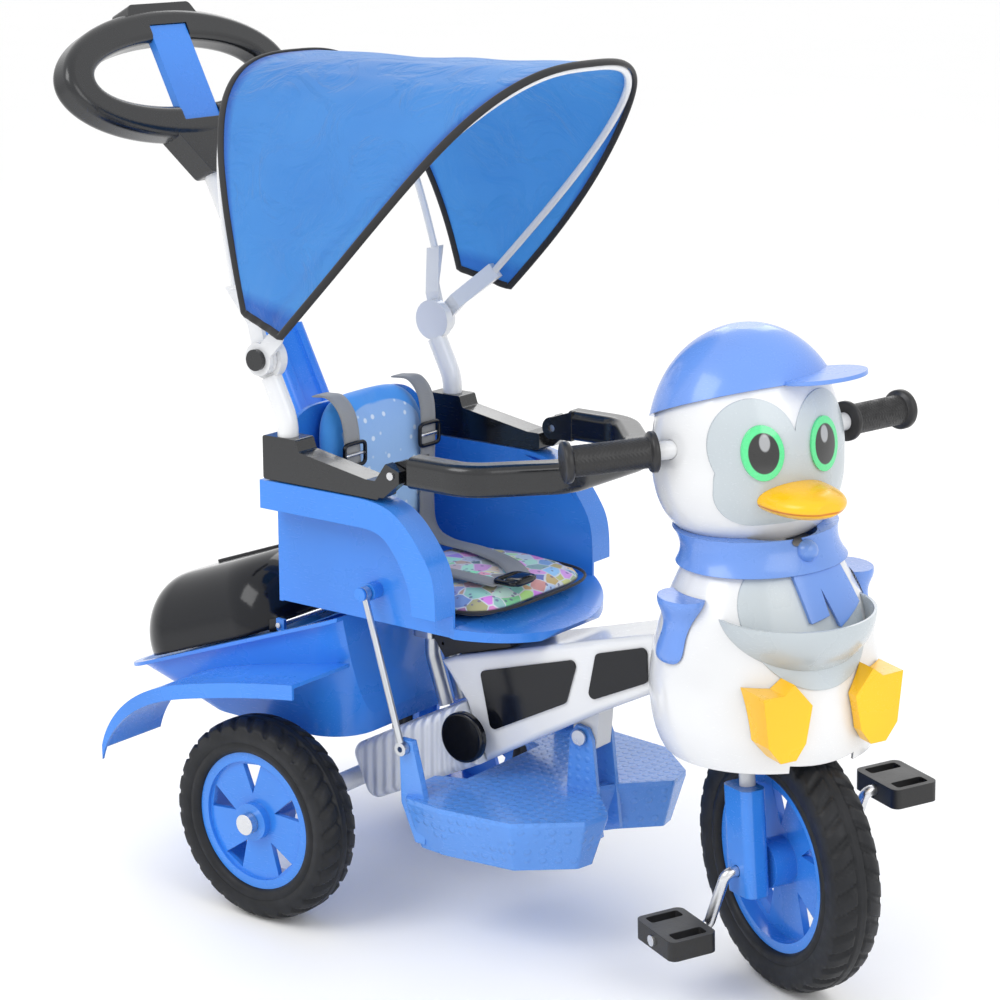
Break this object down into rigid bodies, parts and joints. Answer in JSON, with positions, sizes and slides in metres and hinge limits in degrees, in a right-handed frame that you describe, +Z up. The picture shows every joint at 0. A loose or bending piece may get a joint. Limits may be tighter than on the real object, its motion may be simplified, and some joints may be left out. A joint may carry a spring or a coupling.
{
  "type": "children's tricycle",
  "caption": "Ride-on tricycle for a small child with a parent's push handle, folding canopy, lift-up guard, swinging footrest, lidded trunk and a penguin body round the steering.",
  "frame": {"origin": "on the ground, under the middle of the tricycle's bounding box", "axes": "+X towards the front wheel, +Y to the rider's left, +Z up"},
  "size_m": [0.9616, 0.422, 0.9243],
  "materials": {
    "tyre_black": "moulded, satin",
    "grip_black": "diamond pattern, satin",
    "blue_plastic": "moulded, semi-gloss",
    "periwinkle_plastic": "moulded, semi-gloss",
    "white_plastic": "moulded, gloss",
    "white_metal": "painted, gloss",
    "bow_white": "moulded, satin",
    "black_plastic": "moulded, satin",
    "grey_plastic": "moulded, satin",
    "buckle_black": "moulded, gloss",
    "eye_black": "gloss",
    "yellow_plastic": "moulded, gloss",
    "steel": "plated",
    "canopy_cloth": "woven",
    "seat_cloth": "woven, padded",
    "webbing": "woven"
  },
  "bodies": {
    "chassis": {"rear_axle": "steel", "axle_nuts": "steel", "rear_frame": "white_metal", "rear_cover": "grey_plastic", "main_beam": "white_plastic", "beam_inserts": "black_plastic", "side_caps": "black_plastic", "footrest_pin": "steel", "head_tube": "white_plastic", "seat_column": "black_plastic", "seat_shell": "blue_plastic", "seat_cushion": "seat_cloth", "back_cushion": "seat_cloth", "harness_straps": "webbing", "harness_buckles": "buckle_black", "seat_struts": "black_plastic", "trunk_box": "blue_plastic", "lid_hinge_pin": "steel", "fenders": "blue_plastic", "push_pole": "white_metal", "pole_cover": "blue_plastic", "handle_ring": "black_plastic", "handle_panel": "blue_plastic", "armrests": "black_plastic", "guard_pins": "steel", "canopy_posts": "white_metal", "hub_buttons": "black_plastic"},
    "lid": {"trunk_lid": "black_plastic"},
    "guard": {"guard_bar": "black_plastic"},
    "canopy_back": {"rear_bow": "bow_white", "canopy_rear": "canopy_cloth"},
    "canopy_mid": {"canopy_middle": "canopy_cloth"},
    "canopy_fore": {"front_bow": "bow_white", "canopy_front": "canopy_cloth"},
    "footrest": {"footrest_tray": "blue_plastic"},
    "rod_right": {"footrest_rod_right": "white_metal"},
    "rod_left": {"footrest_rod_left": "white_metal"},
    "steering": {"fork": "white_metal", "fork_covers": "blue_plastic", "handlebar": "white_metal", "grips": "grip_black", "penguin_body": "white_plastic", "penguin_head": "white_plastic", "face_mask": "grey_plastic", "eyes": "eye_black", "beak": "yellow_plastic", "cap": "periwinkle_plastic", "scarf": "periwinkle_plastic", "belly_pouch": "grey_plastic", "mittens": "periwinkle_plastic", "feet": "yellow_plastic"},
    "front_wheel": {"front_tyre": "tyre_black", "front_rim": "blue_plastic", "crank": "steel"},
    "pedal_r": {"pedal_right": "black_plastic"},
    "pedal_l": {"pedal_left": "black_plastic"},
    "rear_wheel_r": {"rear_tyre_right": "tyre_black", "rear_rim_right": "blue_plastic"},
    "rear_wheel_l": {"rear_tyre_left": "tyre_black", "rear_rim_left": "blue_plastic"}
  },
  "joints": [
    {"name": "trunk_lid_hinge", "type": "hinge", "parent": "chassis", "child": "lid", "pos_m": [-0.2066, 0, 0.29], "axis": [0, 1, 0], "range_deg": [0, 40]},
    {"name": "guard_lift", "type": "hinge", "parent": "chassis", "child": "guard", "pos_m": [-0.0146, 0, 0.489], "axis": [0, -1, 0], "range_deg": [0, 80]},
    {"name": "canopy_tilt", "type": "hinge", "parent": "chassis", "child": "canopy_back", "pos_m": [-0.1846, 0, 0.586], "axis": [0, -1, 0], "range_deg": [-20, 10]},
    {"name": "canopy_fold", "type": "hinge", "parent": "canopy_back", "child": "canopy_fore", "pos_m": [-0.1846, 0, 0.586], "axis": [0, -1, 0], "range_deg": [0, 40]},
    {"name": "canopy_middle_fold", "type": "hinge", "parent": "canopy_back", "child": "canopy_mid", "pos_m": [-0.1846, 0, 0.586], "axis": [0, -1, 0], "range_deg": [0, 14]},
    {"name": "footrest_fold", "type": "hinge", "parent": "chassis", "child": "footrest", "pos_m": [0.1254, 0, 0.212], "axis": [0, 1, 0], "range_deg": [-20, 0]},
    {"name": "rod_swing_right", "type": "hinge", "parent": "chassis", "child": "rod_right", "pos_m": [-0.0566, -0.142, 0.36], "axis": [0, 1, 0], "range_deg": [-24, 0]},
    {"name": "rod_swing_left", "type": "hinge", "parent": "chassis", "child": "rod_left", "pos_m": [-0.0566, 0.142, 0.36], "axis": [0, 1, 0], "range_deg": [-24, 0]},
    {"name": "steering_turn", "type": "hinge", "parent": "chassis", "child": "steering", "pos_m": [0.3584, 0, 0.13], "axis": [-0.0802, 0, 0.9968], "range_deg": [-2, 54]},
    {"name": "front_wheel_spin", "type": "hinge", "parent": "steering", "child": "front_wheel", "pos_m": [0.3584, 0, 0.13], "axis": [0.437, 0.8988, 0.0352], "continuous": true},
    {"name": "pedal_spin_right", "type": "hinge", "parent": "front_wheel", "child": "pedal_r", "pos_m": [0.29425, -0.09767, 0.06779], "axis": [0.437, 0.8988, 0.0352], "continuous": true},
    {"name": "pedal_spin_left", "type": "hinge", "parent": "front_wheel", "child": "pedal_l", "pos_m": [0.42255, 0.09767, 0.19221], "axis": [0.437, 0.8988, 0.0352], "continuous": true},
    {"name": "rear_wheel_spin_right", "type": "hinge", "parent": "chassis", "child": "rear_wheel_r", "pos_m": [-0.1646, -0.1775, 0.108], "axis": [0, 1, 0], "continuous": true},
    {"name": "rear_wheel_spin_left", "type": "hinge", "parent": "chassis", "child": "rear_wheel_l", "pos_m": [-0.1646, 0.1775, 0.108], "axis": [0, 1, 0], "continuous": true}
  ],
  "couplings": [
    {"joint": "canopy_middle_fold", "follows": "canopy_fold", "ratio": 0.35}
  ]
}
